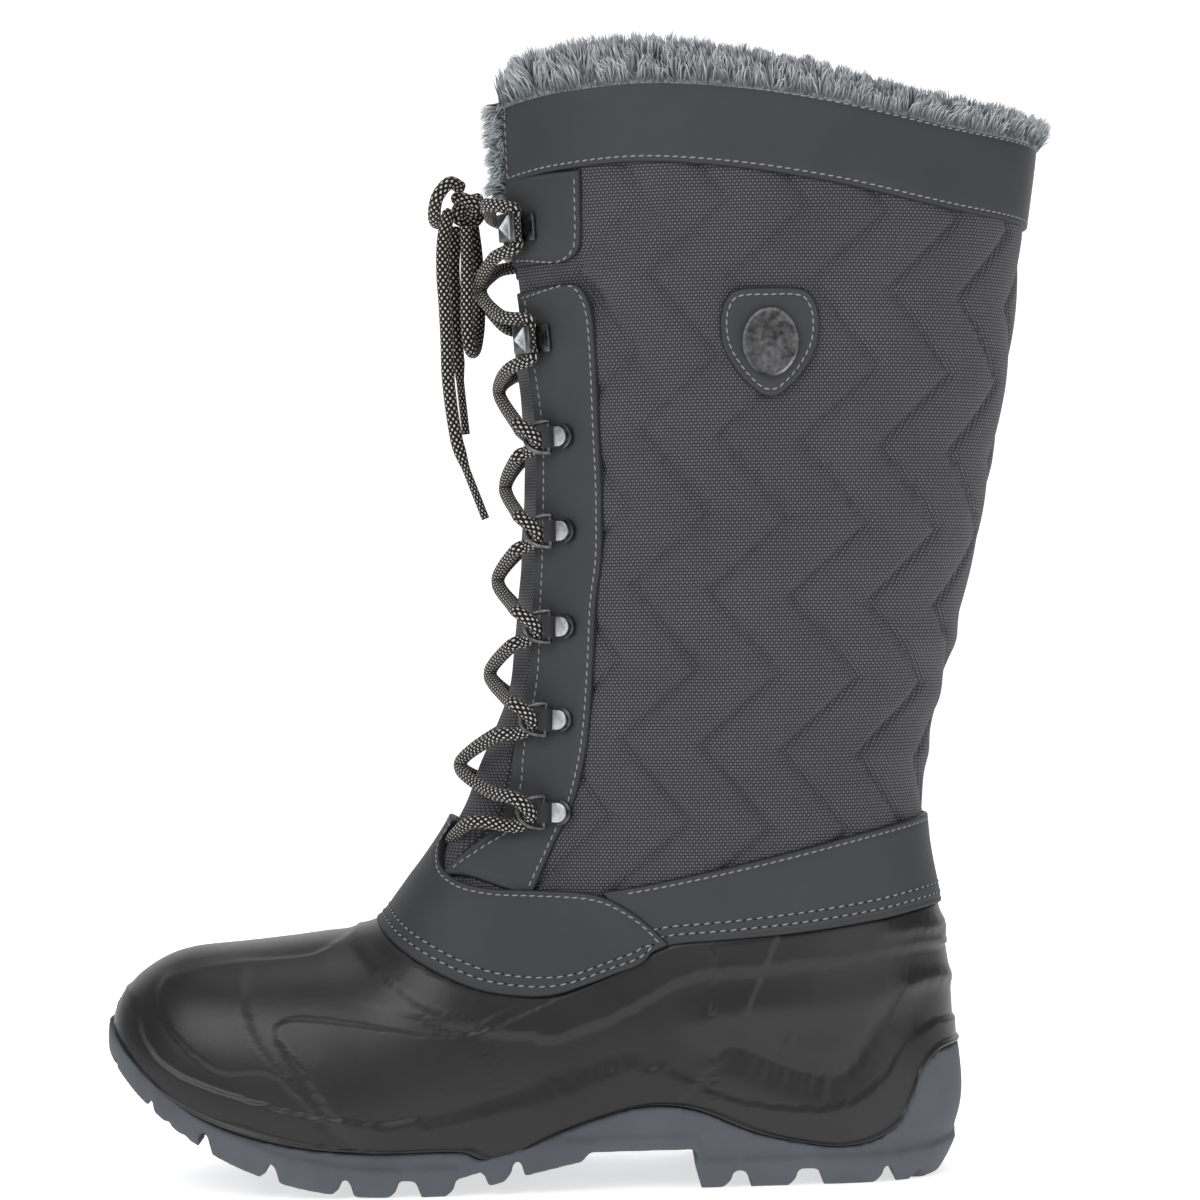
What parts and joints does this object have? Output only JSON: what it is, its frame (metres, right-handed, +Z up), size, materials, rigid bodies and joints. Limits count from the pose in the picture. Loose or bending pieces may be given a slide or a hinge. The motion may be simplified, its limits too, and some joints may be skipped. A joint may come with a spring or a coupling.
{
  "type": "snow boot",
  "caption": "Tall left snow boot: lugged rubber foot, quilted laced shaft, leather bands, rings and hooks, fur collar, hollow inside.",
  "frame": {"origin": "on the floor, under the middle of the boot's box without the bow", "axes": "-X toe, +X heel, -Y the wearer's left (outer side), +Y inner side, +Z up"},
  "size_m": [0.3186, 0.128, 0.3747],
  "materials": {
    "sole_rubber": "matte slate-grey moulded rubber",
    "shell_rubber": "satin black moulded rubber",
    "quilted_cloth": "coarse woven padded cloth, quilted in zigzags",
    "leather": "matte dark grey coated leather with pale stitching",
    "felt": "pressed grey felt",
    "fur": "deep grey pile with pale tips and dark roots",
    "dark_metal": "gunmetal plated steel",
    "badge_metal": "smoked satin metal",
    "lace": "round black braid with pale flecks"
  },
  "bodies": {
    "root": {"outsole": "sole_rubber", "insole": "felt", "shell": "shell_rubber", "shaft": "quilted_cloth", "tongue": "quilted_cloth", "vamp_band": "leather", "heel_band": "leather", "eyestay_outer": "leather", "eyestay_inner": "leather", "tab_outer": "leather", "tab_inner": "leather", "collar_band": "leather", "fur_collar": "fur", "tongue_fur": "fur", "badge_patch": "leather", "badge_plate": "badge_metal", "lace_bars": "lace", "lace_knot": "lace", "lace_loop_front": "lace", "lace_loop_hanging": "lace", "lace_end_long": "lace", "lace_end_short": "lace", "ring_outer_1": "dark_metal", "clip_outer_1": "dark_metal", "ring_outer_2": "dark_metal", "clip_outer_2": "dark_metal", "ring_outer_3": "dark_metal", "clip_outer_3": "dark_metal", "ring_outer_4": "dark_metal", "clip_outer_4": "dark_metal", "ring_outer_5": "dark_metal", "clip_outer_5": "dark_metal", "ring_inner_1": "dark_metal", "clip_inner_1": "dark_metal", "ring_inner_2": "dark_metal", "clip_inner_2": "dark_metal", "ring_inner_3": "dark_metal", "clip_inner_3": "dark_metal", "ring_inner_4": "dark_metal", "clip_inner_4": "dark_metal", "ring_inner_5": "dark_metal", "clip_inner_5": "dark_metal", "hook_outer_1": "dark_metal", "hook_outer_2": "dark_metal", "hook_inner_1": "dark_metal", "hook_inner_2": "dark_metal"}
  },
  "joints": []
}
